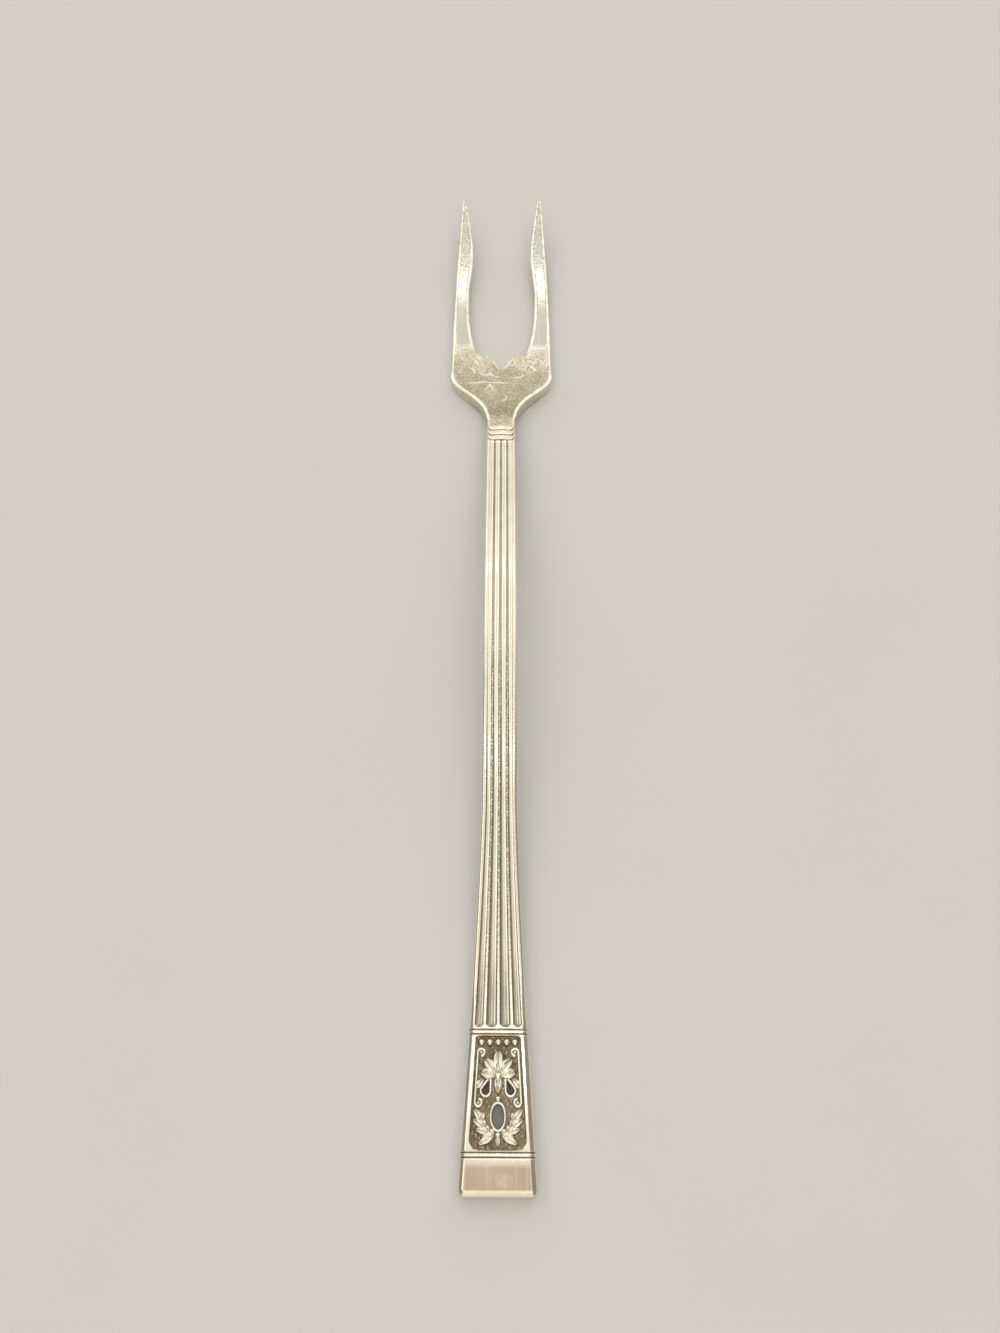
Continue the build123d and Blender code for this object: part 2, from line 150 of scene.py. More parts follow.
def ringPoints(station, form):
    # once round the section: inner rim, front, outer rim, side, back and inner side
    steps = form["roundSteps"]
    quarter = [pi / 2 * k / steps for k in range(steps + 1)]
    inner, inward, outer, outward, cut = station
    outRim, backRim = form["outerRim"](outer.y), form["backRim"]
    inRim = form["innerRim"](inner.y) if cut else (0.0, 0.0, 1.0)
    innerBack = min(backRim, inRim[0])

    def onFront(point, sink):
        return Vector((point.x, point.y, form["frontZ"](point.x, point.y) - sink))

    def onBack(point, lift):
        return Vector((point.x, point.y, form["backZ"](point.y) + lift))

    def roundFront(edge, way, rim, angles):
        wide, drop, power = rim
        points = []
        for a in angles:
            sink = drop * (1 - sin(a) ** power)
            points.append(onFront(edge + way * wide * (1 - cos(a) ** power), sink))
        return points

    def roundBack(edge, way, reach, angles):
        return [onBack(edge + way * reach * (1 - cos(a)), reach * (1 - sin(a))) for a in angles]

    ring = roundFront(inner, inward, inRim, quarter)
    rimIn, rimOut = inner + inward * inRim[0], outer + outward * outRim[0]
    shares = form["shares"](rimIn, rimOut) if "shares" in form else None
    for k in range(1, form["across"]):
        share = shares[k] if shares else k / form["across"]
        lift = form["facet"](rimIn, rimOut, share) if "facet" in form else 0.0
        ring.append(onFront(rimIn.lerp(rimOut, share), -lift))
    ring += roundFront(outer, outward, outRim, quarter[::-1])
    ring.append((onFront(outer, outRim[1]) + onBack(outer, backRim)) / 2)
    ring += roundBack(outer, outward, backRim, quarter)
    backIn, backOut = inner + inward * innerBack, outer + outward * backRim
    for k in range(1, form["backAcross"]):
        ring.append(onBack(backOut.lerp(backIn, k / form["backAcross"]), 0))
    ring += roundBack(inner, inward, innerBack, quarter[::-1])
    ring.append((onFront(inner, inRim[1]) + onBack(inner, innerBack)) / 2)
    return ring


def gridOn(bm, across, along, place):
    # a grid whose points are moved to place(column, row)
    grid = bmesh.ops.create_grid(bm, x_segments=across, y_segments=along, size=1.0)["verts"]
    for vert in grid:
        column, row = round((vert.co.x + 1) / 2 * across), round((vert.co.y + 1) / 2 * along)
        vert.co = place(column, row)
    return grid


def halfPlate(stations, form):
    rings = [[point * mm for point in ringPoints(station, form)] for station in stations]
    around = len(rings[0])
    bm = bmesh.new()
    gridOn(bm, around, len(rings) - 1, lambda column, row: rings[row][column % around])
    bmesh.ops.remove_doubles(bm, verts=bm.verts, dist=weld["plate"] * mm)
    seam = [face for face in bm.faces if all(abs(vert.co.x) < weld["axis"] * mm for vert in face.verts)]
    bmesh.ops.delete(bm, geom=seam, context="FACES")
    whole = bm.verts[:] + bm.edges[:] + bm.faces[:]
    bmesh.ops.mirror(bm, geom=whole, axis="X", merge_dist=weld["mirror"] * mm)
    bmesh.ops.remove_doubles(bm, verts=bm.verts, dist=weld["plate"] * mm)
    bmesh.ops.dissolve_degenerate(bm, edges=bm.edges, dist=weld["sliver"] * mm)
    bmesh.ops.holes_fill(bm, edges=[edge for edge in bm.edges if edge.is_boundary], sides=0)
    bmesh.ops.recalc_face_normals(bm, faces=bm.faces)
    return bm


def toMetres(bm):
    bmesh.ops.scale(bm, verts=bm.verts, vec=(mm, mm, mm))
    bmesh.ops.recalc_face_normals(bm, faces=bm.faces)


def addThing(name, data):
    thing = bpy.data.objects.new(name, data)
    bpy.context.scene.collection.objects.link(thing)
    return thing


def addMesh(bm, name, material):
    mesh = bpy.data.meshes.new(name)
    bm.to_mesh(mesh)
    bm.free()
    mesh.materials.append(material)
    return addThing(name, mesh)


def finishPiece(bm, name, material, nodes, slotName, sharpAngle, **wearAndPaintedLight):
    for kind, amount in wearAndPaintedLight.items():  # tarnish with painted shade, pitting, and painted reflection, each from 0 to 1 at each point
        layer = bm.verts.layers.float.new(kind)
        for vert in bm.verts:
            vert[layer] = clamp(amount(vert.co / mm))
    piece = addMesh(bm, name, material)
    piece.data.shade_smooth()
    piece.data.set_sharp_from_angle(angle=radians(sharpAngle))
    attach(piece, "root")
    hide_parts(*nodes)
    print(name, "made,", len(piece.data.polygons), "faces")


# shader maths


class Wire:
    # wraps a socket, so that shader maths reads as plain arithmetic
    def __init__(self, tree, socket=None):
        self.tree, self.socket = tree, socket

    def make(self, kind, settings=None, sockets=None, out=0):
        node = self.tree.nodes.new(kind)
        for key, value in (settings or {}).items():
            if key == "stops":
                ramp = node.color_ramp.elements
                ramp[0].position, ramp[1].position = value[0][0], value[-1][0]
                ramp[0].color, ramp[1].color = (*value[0][1], 1.0), (*value[-1][1], 1.0)
                for position, colour in value[1:-1]:
                    ramp.new(position).color = (*colour, 1.0)
            else:
                setattr(node, key, value)
        for key, value in (sockets or {}).items():
            if isinstance(value, Wire):
                self.tree.links.new(value.socket, node.inputs[key])
            else:
                node.inputs[key].default_value = value
        return Wire(self.tree, node.outputs[out] if node.outputs else None)

    def __add__(self, other):
        return reckon(self, "ADD", self, other)

    def __radd__(self, other):
        return reckon(self, "ADD", other, self)

    def __sub__(self, other):
        return reckon(self, "SUBTRACT", self, other)

    def __rsub__(self, other):
        return reckon(self, "SUBTRACT", other, self)

    def __mul__(self, other):
        return reckon(self, "MULTIPLY", self, other)

    def __rmul__(self, other):
        return reckon(self, "MULTIPLY", other, self)


def reckon(wire, operation, first, second=0.0, clamped=False):
    settings = {"operation": operation, "use_clamp": clamped}
    return wire.make("ShaderNodeMath", settings, {0: first, 1: second})


def held(value):
    # kept between 0 and 1
    return reckon(value, "ADD", value, clamped=True)


def between(value, low, high):
    # 0 below low, 1 above high
    return value.make("ShaderNodeMapRange", {"interpolation_type": "SMOOTHSTEP"},
                      {"Value": value, "From Min": low, "From Max": high})


def tint(wire, factor, first, second):
    # from the first colour to the second, in the Mix node's colour sockets
    return wire.make("ShaderNodeMix", {"data_type": "RGBA"}, {0: factor, 6: first, 7: second}, out=2)


def speckle(wire, spot, scale, detail, rough, out="Fac"):
    sockets = {"Vector": spot, "Scale": scale, "Detail": detail, "Roughness": rough}
    return wire.make("ShaderNodeTexNoise", None, sockets, out)


def readLayer(wire, name):
    return wire.make("ShaderNodeAttribute", {"attribute_name": name}, out="Fac")


def split(value):
    parts = value.make("ShaderNodeSeparateXYZ", None, {0: value}).socket.node.outputs
    return [Wire(value.tree, socket) for socket in parts]


def startTree(owner):
    owner.use_nodes = True
    owner.node_tree.nodes.clear()
    return Wire(owner.node_tree)


def rgb(red, green, blue):
    return (red, green, blue, 1.0)


def drawStrokes(wire, spot, look):
    # thin scratches, bent a little by a noise pattern
    wobble = speckle(wire, spot, *look["wobblePattern"], out="Color")
    reach = look["wobble"] * mm
    bent = wire.make("ShaderNodeVectorMath", {"operation": "MULTIPLY_ADD"},
                     {0: wobble, 1: (reach, reach, 0.0), 2: spot})
    wide, (core, body) = look["strokeWidth"] * mm / 2, look["strokeFull"]
    drawn = None
    for x, y, angle, length in look["strokes"]:
        place = ((x + look["wobble"] / 2) * mm, (y + look["wobble"] / 2) * mm, 0.0)
        local = wire.make("ShaderNodeMapping", {"vector_type": "TEXTURE"},
                          {"Vector": bent, "Location": place, "Rotation": (0, 0, radians(angle))})
        along, across = [reckon(wire, "ABSOLUTE", part) for part in split(local)[:2]]
        half = length * mm / 2
        stroke = (1.0 - between(across, wide * core, wide)) * (1.0 - between(along, half * body, half))
        drawn = stroke if drawn is None else reckon(wire, "MAXIMUM", drawn, stroke)
    return drawn


def silverFinish(name, look):
    material = bpy.data.materials.new(name)
    wire = startTree(material)
    spot = wire.make("ShaderNodeTexCoord", out="Object")
    # the tarnish layer also carries painted shade, under the beads, in the flute ends and round the relief
    stainAndShade = readLayer(wire, "tarnish")
    worn = look["evenWear"] or readLayer(wire, "pitting")
    kinds = ("cloud", "mottle", "grit", "fine")
    cloud, mottle, grit, fine = [speckle(wire, spot, *look[kind]) for kind in kinds]
    streaks = wire.make("ShaderNodeMapping", None, {"Vector": spot, "Scale": look["brushStretch"]})
    brush = speckle(wire, streaks, *look["brush"])
    mean = 0.5  # of a noise pattern
    pits = between(grit, *look["pitBand"]) * worn
    # bright specks: worn bright metal and painted glints
    flecksAndGlints = (1.0 - between(grit, *look["fleckAndGlintBand"])) * worn
    patchy = (cloud - mean) * look["cloudStain"] + (mottle - mean) * look["mottleStain"]
    colour = tint(wire, between(mottle, *look["softBand"]), look["bright"], look["soft"])
    for amount, over in [  # one coat over the other
        (stainAndShade * look["recessStainAndShade"] + patchy + look["allStain"], look["stainAndShadeColour"]),
        (between(grit, *look["gritBand"]) * worn * look["gritShade"], look["pitColour"]),
        (pits * look["pitShade"], look["pitColour"]),
        (between(brush, *look["brushBand"]) * look["brushShade"], look["stainAndShadeColour"]),
        (between(stainAndShade, *look["deepBand"]) * look["deepStainAndShade"] * (mottle + mean), look["deepColour"]),
        (flecksAndGlints * look["fleckAndGlintShare"], look["bright"]),
    ]:
        colour = tint(wire, held(amount), colour, over)
    rough = look["polish"] + cloud * look["haze"] + stainAndShade * look["tarnishRough"] + pits * look["pitRough"]
    height = mottle * look["waviness"] + (grit * look["gritDepth"] + fine * look["fineDepth"]) * worn
    height = height + brush * look["brushDepth"] - pits * look["pitDepth"]
    if "strokes" in look:  # bright scratches
        scuff = drawStrokes(wire, spot, look) * worn
        colour = tint(wire, held(scuff), colour, look["strokeColour"])
        height = height - scuff * look["strokeDepth"]
    if "paintedReflectionColour" in look:  # painted reflection on a plain face, broken up by the mottle and the brush marks
        broken = between(mottle, *look["paintedReflectionMottle"]) * look["paintedReflectionMottleShare"]
        rubbed = between(brush, *look["paintedReflectionBrush"]) * look["paintedReflectionBrushShare"]
        reflectionShare = readLayer(wire, "blush") * (look["paintedReflectionFull"] - broken - rubbed)
        colour = tint(wire, held(reflectionShare), colour, look["paintedReflectionColour"])
    if "stippleScale" in look:  # punched dimples where the metal is deepest
        cells = wire.make("ShaderNodeTexVoronoi", None, {"Vector": spot, "Scale": look["stippleScale"]})
        dimple = (1.0 - between(cells, *look["stippleBand"])) * between(stainAndShade, *look["stippleDeep"])
        height = height - dimple * look["stippleDepth"]
        colour = tint(wire, held(dimple * look["stippleShade"]), colour, look["stainAndShadeColour"])
    relief = {"Strength": 1.0, "Distance": look["bumpReach"], "Height": height}
    shader = wire.make("ShaderNodeBsdfPrincipled", None, {
        "Base Color": colour, "Metallic": 1.0, "Roughness": held(rough),
        "Normal": wire.make("ShaderNodeBump", None, relief),
    })
    wire.make("ShaderNodeOutputMaterial", None, {"Surface": shader})
    return material


# finishes

platedLook = {
    "bright": rgb(0.93, 0.90, 0.81), "soft": rgb(0.87, 0.835, 0.73), "stainAndShadeColour": rgb(0.62, 0.54, 0.40),
    "deepColour": rgb(0.20, 0.185, 0.16), "pitColour": rgb(0.40, 0.36, 0.28),
    # noise patterns: scale, detail and roughness
    "cloud": (95.0, 4.0, 0.6), "mottle": (420.0, 3.0, 0.6), "grit": (2600.0, 2.0, 0.65),
    "fine": (8060.0, 1.0, 0.5), "brush": (2400.0, 2.0, 0.6), "brushStretch": (1.0, 0.03, 1.0),
    # where a pattern starts to show and is full
    "softBand": (0.32, 0.70), "gritBand": (0.47, 0.62), "pitBand": (0.63, 0.72), "fleckAndGlintBand": (0.33, 0.45),
    "brushBand": (0.45, 0.75), "deepBand": (0.55, 1.0),
    "paintedReflectionMottle": (0.50, 0.72), "paintedReflectionBrush": (0.5, 0.75),
    # how strong it is
    "recessStainAndShade": 0.45, "cloudStain": 0.45, "mottleStain": 0.0, "allStain": 0.04, "deepStainAndShade": 0.75,
    "gritShade": 0.10, "pitShade": 0.30, "fleckAndGlintShare": 0.0, "brushShade": 0.0, "evenWear": 0.5,
    "paintedReflectionFull": 1.05, "paintedReflectionMottleShare": 0.40, "paintedReflectionBrushShare": 0.30,
    "polish": 0.06, "haze": 0.07, "tarnishRough": 0.14, "pitRough": 0.12, "waviness": 0.12,
    "gritDepth": 0.10, "fineDepth": 0.03, "brushDepth": 0.05, "pitDepth": 0.12, "bumpReach": 0.00002,
}
handleLook = dict(
    # the pink on the tab is a painted reflection
    platedLook, paintedReflectionColour=rgb(0.575, 0.465, 0.385), recessStainAndShade=0.9, brushShade=0.10, evenWear=None,
    fleckAndGlintBand=(0.37, 0.49), fleckAndGlintShare=0.9, gritShade=0.30, pitShade=0.4,
    grit=(4300.0, 2.0, 0.65), fine=(13330.0, 1.0, 0.5), gritDepth=0.4, pitDepth=0.2,
)
headLook = dict(
    platedLook, stainAndShadeColour=rgb(0.60, 0.52, 0.35), pitColour=rgb(0.34, 0.31, 0.24),
    # the grey on the tine facets and tips is a painted reflection
    paintedReflectionColour=rgb(0.56, 0.565, 0.53), recessStainAndShade=1.0, allStain=0.02, cloudStain=1.1, mottleStain=1.5,
    gritShade=0.6, pitBand=(0.58, 0.67), pitShade=0.7, evenWear=None, fleckAndGlintShare=0.6, polish=0.05,
    grit=(2700.0, 2.0, 0.65), fine=(8370.0, 1.0, 0.5), gritDepth=0.6, fineDepth=0.1, brushDepth=0.0,
    pitDepth=0.5, wobble=0.9, wobblePattern=(700.0, 1.0, 0.5), strokeColour=rgb(0.98, 0.95, 0.87),
    strokeWidth=0.36, strokeDepth=0.4, strokeFull=(0.4, 0.7),  # shares of its width and its length
    strokes=[  # x, y, angle and length
        (-2.2, 37.0, 2, 7.5), (-2.9, 39.0, -35, 1.5), (-2.0, 38.8, 60, 1.4), (-1.2, 38.6, -20, 1.8),
        (-2.2, 35.9, 55, 1.8), (-1.7, 36.0, -60, 1.6), (-4.6, 39.8, -65, 1.6), (2.8, 38.4, 25, 1.8),
        (5.2, 40.6, -40, 1.6), (0.6, 33.2, 70, 1.4),
    ],
)
tonedLook = dict(
    platedLook, bright=rgb(0.91, 0.90, 0.84), soft=rgb(0.85, 0.83, 0.75), stainAndShadeColour=rgb(0.60, 0.52, 0.37),
    deepColour=rgb(0.13, 0.105, 0.07), allStain=0.12, recessStainAndShade=0.75, deepStainAndShade=0.95, polish=0.11,
    waviness=0.2, stippleScale=2300.0, stippleBand=(0.10, 0.55), stippleDeep=(0.9, 1.0), stippleDepth=3.0,
    stippleShade=0.55,
)
platedSilver = silverFinish("platedSilver", platedLook)
handleSilver = silverFinish("handleSilver", handleLook)
headSilver = silverFinish("headSilver", headLook)
tonedSilver = silverFinish("tonedSilver", tonedLook)
print("finishes made")


# heights of the front and the back

rise = {
    "arch": 5.498, "tines": 4.4, "neckThick": 2.4, "endThick": 2.0, "rootThick": 1.7, "tipThick": 0.9,
}
archLength = fork["heelY"] - fork["straightLowY"]
shankLength = fork["straightTopY"] - fork["straightLowY"]
neckSlope = rise["arch"] * pi / archLength * sin(2 * pi * (shankLength / archLength))


def handleBack(y):
    share = clamp((min(y, fork["straightTopY"]) - fork["straightLowY"]) / archLength)
    return rise["arch"] * sin(pi * share) ** 2 + neckSlope * max(0.0, y - fork["straightTopY"])


def handleThick(y):
    share = clamp((y - fork["straightLowY"]) / shankLength)
    return rise["endThick"] + (rise["neckThick"] - rise["endThick"]) * share


def sweepDown(y, start, end):
    # from the sloping neck to the level heel
    length = fork["heelY"] - fork["sweepY"]
    t = (y - fork["sweepY"]) / length
    return (
        (2 * t**3 - 3 * t * t + 1) * start + (t**3 - 2 * t * t + t) * length * neckSlope
        + (3 * t * t - 2 * t**3) * end
    )


def curlUp(y, climb):
    # an arc from the level heel to the tips
    reach = fork["tipY"] - fork["heelEndY"]
    radius = (reach**2 + climb**2) / (2 * climb)
    return radius - sqrt(radius**2 - max(0.0, y - fork["heelEndY"]) ** 2)


def headBack(y):
    if y < fork["sweepY"]:
        return handleBack(y)
    if y < fork["heelY"]:
        return sweepDown(y, handleBack(fork["sweepY"]), 0.0)
    return curlUp(y, rise["tines"])


def headFront(x, y):
    if y < fork["sweepY"]:
        return handleBack(y) + rise["neckThick"]
    if y < fork["heelY"]:
        return sweepDown(y, handleBack(fork["sweepY"]) + rise["neckThick"], rise["rootThick"])
    return rise["rootThick"] + curlUp(y, rise["tines"] + rise["tipThick"] - rise["rootThick"])


# fork head

headSizes = {
    # outlines of one half: x, y and heading
    "neckOuter": [
        (2.2, 24.2327, 90), (2.2, 27.8327, 90), (4.397, 33.3395, 46.5), (6.7769, 35.8474, 46.5),
        (8.15, 39.289, 90), (8.15, 39.85, 90),
    ],
    "rootInner": [(0, 40.4173, 0), (0.51, 40.7613, 68), (3.4577, 43.9305, 10), (4.0878, 44.4978, 74)],
    "rootOuter": [(8.15, 39.85, 90), (8.15, 44.4978, 90)],
    "tineInner": [
        (4.0878, 44.4978, 74), (5.5189, 58.0173, 90), (4.9027, 66.0173, 90), (6.1522, 78.1120, 84.302),
    ],
    "tineOuter": [(8.15, 44.4978, 90), (7.0491, 78.0959, 93.649)],
    "tipInner": [(6.1522, 78.1120, 84.302), (6.6, 78.5173, 0)],
    "tipOuter": [(7.0491, 78.0959, 93.649), (6.6, 78.5173, 180)],
    "counts": (56, 44, 240, 12), "roundSteps": 6, "across": 18, "backAcross": 6, "sharp": 42,
    # rims, and where along the fork they come and go
    "rim": (0.52, 0.38, 1.2), "tipRim": (0.34, 0.34, 1.0), "shoulderRim": (0.48, 0.21, 1.8),
    "slotRim": (0.52, 0.16, 1.6), "backRim": 0.3,
    "tipFrom": (70.0, 77.5), "shoulderFrom": (26.5, 29.5), "shoulderTo": (41.5, 38.5),
    "slotTo": (45.0, 43.0),
    # flat face of each tine, a little proud, with round lower corners
    "facetFrom": 45.15, "facetStep": 0.4, "facetLift": 0.11, "facetFullAt": 1.6, "facetLeastX": 1.0,
    "facetCorner": 0.75, "facetStraight": 0.5,
    # layers of wear, with painted shade and painted reflection
    "tarnish": [
        (0.08,),
        (0.585, ("y", 25.0, 30.0), ("y", 45.5, 40.5), ("depth", 0.075, 0.015)),  # root
        (0.20, ("y", 36.0, 26.0), ("depth", 0.075, 0.015)),  # neck
        (0.8, ("y", 26.3, 26.1), ("side", 2.05, 1.75), ("depth", 0.075, 0.015)),  # painted shade under and between the beads
        (0.36, ("y", 43.0, 40.0), ("depth", 0.35, 0.6), ("overBack", 0.15, 0.4)),  # walls
    ],
    # painted reflection: a grey sheen on the tine facets and tips, more on the right tip
    "blush": [
        (0.75, ("y", 45.2, 45.8), ("y", 58.0, 53.0), ("sunk", 0.10, 0.02)),  # facets
        (0.45, ("y", 60.5, 66.0), ("sunk", 0.10, 0.02)),  # tips
        (0.23, ("y", 60.5, 66.0), ("sunk", 0.10, 0.02), ("x", -1.0, 1.0)),  # right tip
    ],
    "pitting": [(0.12,), (0.85, ("y", 61.0, 66.0)), (0.75, ("y", 45.0, 43.6))],  # tips and root
    "offRim": [(0.2,), (0.8, ("depth", 0.075, 0.015))],  # rims are worn smooth
}


def headRim(y):
    return mixRims(headSizes["rim"], headSizes["tipRim"], ease(*headSizes["tipFrom"], y))


def headOuterRim(y):
    share = ease(*headSizes["shoulderFrom"], y) * ease(*headSizes["shoulderTo"], y)
    return mixRims(headRim(y), headSizes["shoulderRim"], share)


def headInnerRim(y):
    return mixRims(headRim(y), headSizes["slotRim"], ease(*headSizes["slotTo"], y))


def tineFacet(rimIn, rimOut, share):
    sizes = headSizes
    if rimIn.x < sizes["facetLeastX"]:
        return 0.0
    toCorner = max(0.0, abs(2 * share - 1) - sizes["facetStraight"]) / (1 - sizes["facetStraight"])
    start = sizes["facetFrom"] + sizes["facetCorner"] * toCorner**2
    raised = ease(start, start + sizes["facetStep"], (rimIn.y + rimOut.y) / 2)
    return sizes["facetLift"] * raised * clamp((rimOut - rimIn).length / sizes["facetFullAt"])


def makeHead():
    sizes = headSizes
    neckAxis = axisRun(fork["jointY"], fork["notchY"] - sizes["slotRim"][0])
    edges = [(neckAxis, traceKnots(sizes["neckOuter"]), False)]
    for part in ("root", "tine", "tip"):
        edges.append((traceKnots(sizes[part + "Inner"]), traceKnots(sizes[part + "Outer"]), True))
    form = dict(sizes, frontZ=headFront, backZ=headBack, outerRim=headOuterRim, innerRim=headInnerRim,
                facet=tineFacet)
    bm = halfPlate(pairUp(edges, sizes["counts"]), form)

    def measure(spot):
        depth = headFront(spot.x, spot.y) - spot.z
        return {
            "x": spot.x, "y": spot.y, "side": abs(spot.x), "depth": depth,
            "sunk": depth + sizes["facetLift"], "overBack": spot.z - headBack(spot.y),
        }

    def tarnish(spot):
        return total(sizes["tarnish"], measure(spot))

    def pitting(spot):
        return total(sizes["pitting"], measure(spot)) * total(sizes["offRim"], measure(spot))

    def blush(spot):
        return total(sizes["blush"], measure(spot))

    finishPiece(bm, "forkHead", headSilver, ["fork_head"], "silver_plate", sizes["sharp"],
                tarnish=tarnish, pitting=pitting, blush=blush)


makeHead()


# handle

handleSizes = {
    "neckHalf": 2.2, "endHalf": 4.15, "flareFrom": -36.0173, "flareLength": 42.5, "flarePower": 1.3,
    "endHalfLow": 4.2, "endHalfTop": 3.25, "endCorner": 0.74, "endLean": 93.18, "sideBlend": 1.5,
    "fluteDepth": 0.21, "fluteBorder": 0.6, "fluteEnd": 0.42, "fluteGrow": 0.05, "outerShare": 0.78,
    "ridge": 0.27, "ridgeSpread": 0.10, "ridgeSoft": 0.06, "borderLeast": 0.06,
    "columns": (2, 14, 3, 12, 3),  # over half the middle ridge, a flute, a ridge, a flute and the border
    "lineDepth": 0.16, "lineWide": 0.085, "lineInset": 0.22,
    "rail": 0.85, "windowCorner": 1.1, "topCorner": 0.3, "windowRim": 0.12, "windowLip": 0.02,
    "windowLeans": (94.3, 93.6),  # of its sides, at the low and the top corners
    "shankRim": (0.42, 0.40, 1.0), "endRim": (0.62, 0.46, 1.45), "endRimGoes": (-0.6, 6.0), "backRim": 0.3,
    "endIn": 0.65, "tabIn": 1.7, "bandIn": 0.1, "fluteIn": 0.8,  # where the stations' spacing changes
    "counts": (34, 14, 56, 32, 20, 26, 48, 20, 150, 20, 8), "roundSteps": 6, "backAcross": 6, "sharp": 42,
    # layers of wear, with painted shade and painted reflection
    "sideTarnish": 0.15, "frontShare": 0.55, "fluteClear": 0.4, "windowBeside": 0.14, "windowBeyond": 0.1,
    "tarnish": [
        (0.10, ("overTab", 0.2, -0.2)), (0.06, ("y", -10.0, 15.0)),  # tab and upper part
        (1.0, ("y", 22.82, 22.95), ("side", 2.05, 1.75)),  # painted shade under and between the beads
        (1.0, ("line", 0.30, 0.8)), (0.6, ("window", 0.0, 1.0)),  # lines and window
    ],
    "fluteDarkening": [
        (1.0, ("bowl", 0.03, 0.12), ("bowl", 0.62, 0.36), ("underTop", 0.2, 0.7)),  # darker on the edges of the flutes
        (0.85, ("bowl", 0.12, 0.03), ("offFlute", 0.1, 0.0)),  # darker ridges
        (-0.7, ("bowl", 0.12, 0.03), ("offFlute", 0.1, 0.0), ("y", -42.0, -60.0)),  # less lower down
        (0.05, ("bowl", 0.45, 0.85)), (0.80, ("bowl", 0.45, 0.85), ("y", -42.0, -60.0)),  # floors, much darker towards the end of the handle
    ],
    # painted shade and tarnish in the lower rounded ends of the flutes
    "endTarnishAndShade": [(1.0, ("bowl", 0.03, 0.2), ("overFlute", 0.6, 0.25))],
    "pitting": [
        (0.15,), (0.85, ("y", -6.0, -24.0), ("overFlute", 0.0, 10.0), ("flute", 0.6, 0.25)),  # ridges
        (-0.425, ("y", -6.0, -24.0), ("overFlute", 0.0, 10.0), ("flute", 0.6, 0.25),
         ("offBorder", 0.0, 0.1)),  # less on the border
    ],
    "blush": [(1.0, ("overTab", -0.1, -0.9), ("fromSide", 0.35, 0.9), ("overEnd", 0.45, 0.8))],  # painted reflection on the tab
}


def handleHalf(y):
    sizes = handleSizes
    share = max(0.0, (sizes["flareFrom"] - y) / sizes["flareLength"])
    return sizes["neckHalf"] + (sizes["endHalf"] - sizes["neckHalf"]) * share ** sizes["flarePower"]


def handleSide(y):
    sizes = handleSizes
    share = (y - fork["endY"]) / (fork["straightLowY"] - fork["endY"])
    straight = sizes["endHalfLow"] + (sizes["endHalfTop"] - sizes["endHalfLow"]) * share
    blend = ease(fork["straightLowY"] - sizes["sideBlend"], fork["straightLowY"] + sizes["sideBlend"], y)
    return straight * (1 - blend) + handleHalf(y) * blend


def fluteEdges(y):
    # the edges of the two flutes on one half of the front
    sizes = handleSizes
    room = handleHalf(y) - sizes["fluteBorder"]
    ridge = sizes["ridge"] + sizes["ridgeSpread"] * max(0.0, handleHalf(y) - sizes["neckHalf"])
    innerWide = (room - 1.5 * ridge) / (1 + sizes["outerShare"])
    innerEdge = ridge / 2 + innerWide
    return ridge / 2, innerEdge, innerEdge + ridge, room


def fluteAt(x, y):
    # depth of the flutes, and how near the bottom of a flute this is, from 0 to 1
    sizes = handleSizes
    fromEnd = min(y - fork["fluteLowY"], fork["fluteTopY"] - y) / sizes["fluteEnd"]
    if fromEnd < -1:
        return 0.0, 0.0
    ending = max(0.0, 1 - fromEnd)
    edges = fluteEdges(y)
    depth, share = 0.0, 0.0
    for low, high in (edges[:2], edges[2:]):
        q = (abs(x) - (low + high) / 2) / ((high - low) / 2 + sizes["fluteGrow"])
        t = 1 - q * q - ending * ending
        bowl = (t + sqrt(t * t + sizes["ridgeSoft"] ** 2)) / 2
        depth += sizes["fluteDepth"] * (high - low) * bowl
        share = max(share, bowl)
    return depth, share


def handleShares(rimIn, rimOut):
    # columns that follow the edges of the flutes, closer together there
    columns = handleSizes["columns"]
    if rimOut.y < fork["panelTopY"]:
        return [k / sum(columns) for k in range(sum(columns) + 1)]
    edges = [0.0, *fluteEdges(rimOut.y), rimOut.x]
    edges[4] = min(edges[4], rimOut.x - handleSizes["borderLeast"])
    shares = [0.0]
    for low, high, count in zip(edges, edges[1:], columns):
        for k in range(1, count + 1):
            shares.append((low + (high - low) * (1 - cos(pi * k / count)) / 2) / rimOut.x)
    return shares


def lineShare(y):
    # 1 at the bottom of a cut line
    sizes = handleSizes
    share = 0.0
    for low, high in ((fork["tabTopY"], fork["panelLowY"]), (fork["panelTopY"], fork["fluteLowY"])):
        for line in (low + sizes["lineInset"], high - sizes["lineInset"]):
            share += bell(y - line, 1.0, sizes["lineWide"])
    return share


def handleFront(x, y):
    top = handleBack(y) + handleThick(y)
    return top - fluteAt(x, y)[0] - handleSizes["lineDepth"] * lineShare(y)


def handleRim(y):
    low, high = handleSizes["endRimGoes"]
    share = ease(fork["straightLowY"] + low, fork["straightLowY"] + high, y)
    return mixRims(handleSizes["endRim"], handleSizes["shankRim"], share)


def windowRim(y):
    return handleSizes["windowRim"], handleSizes["windowRim"], 1.0


def windowHalf(y):
    return handleHalf(y) - handleSizes["rail"]


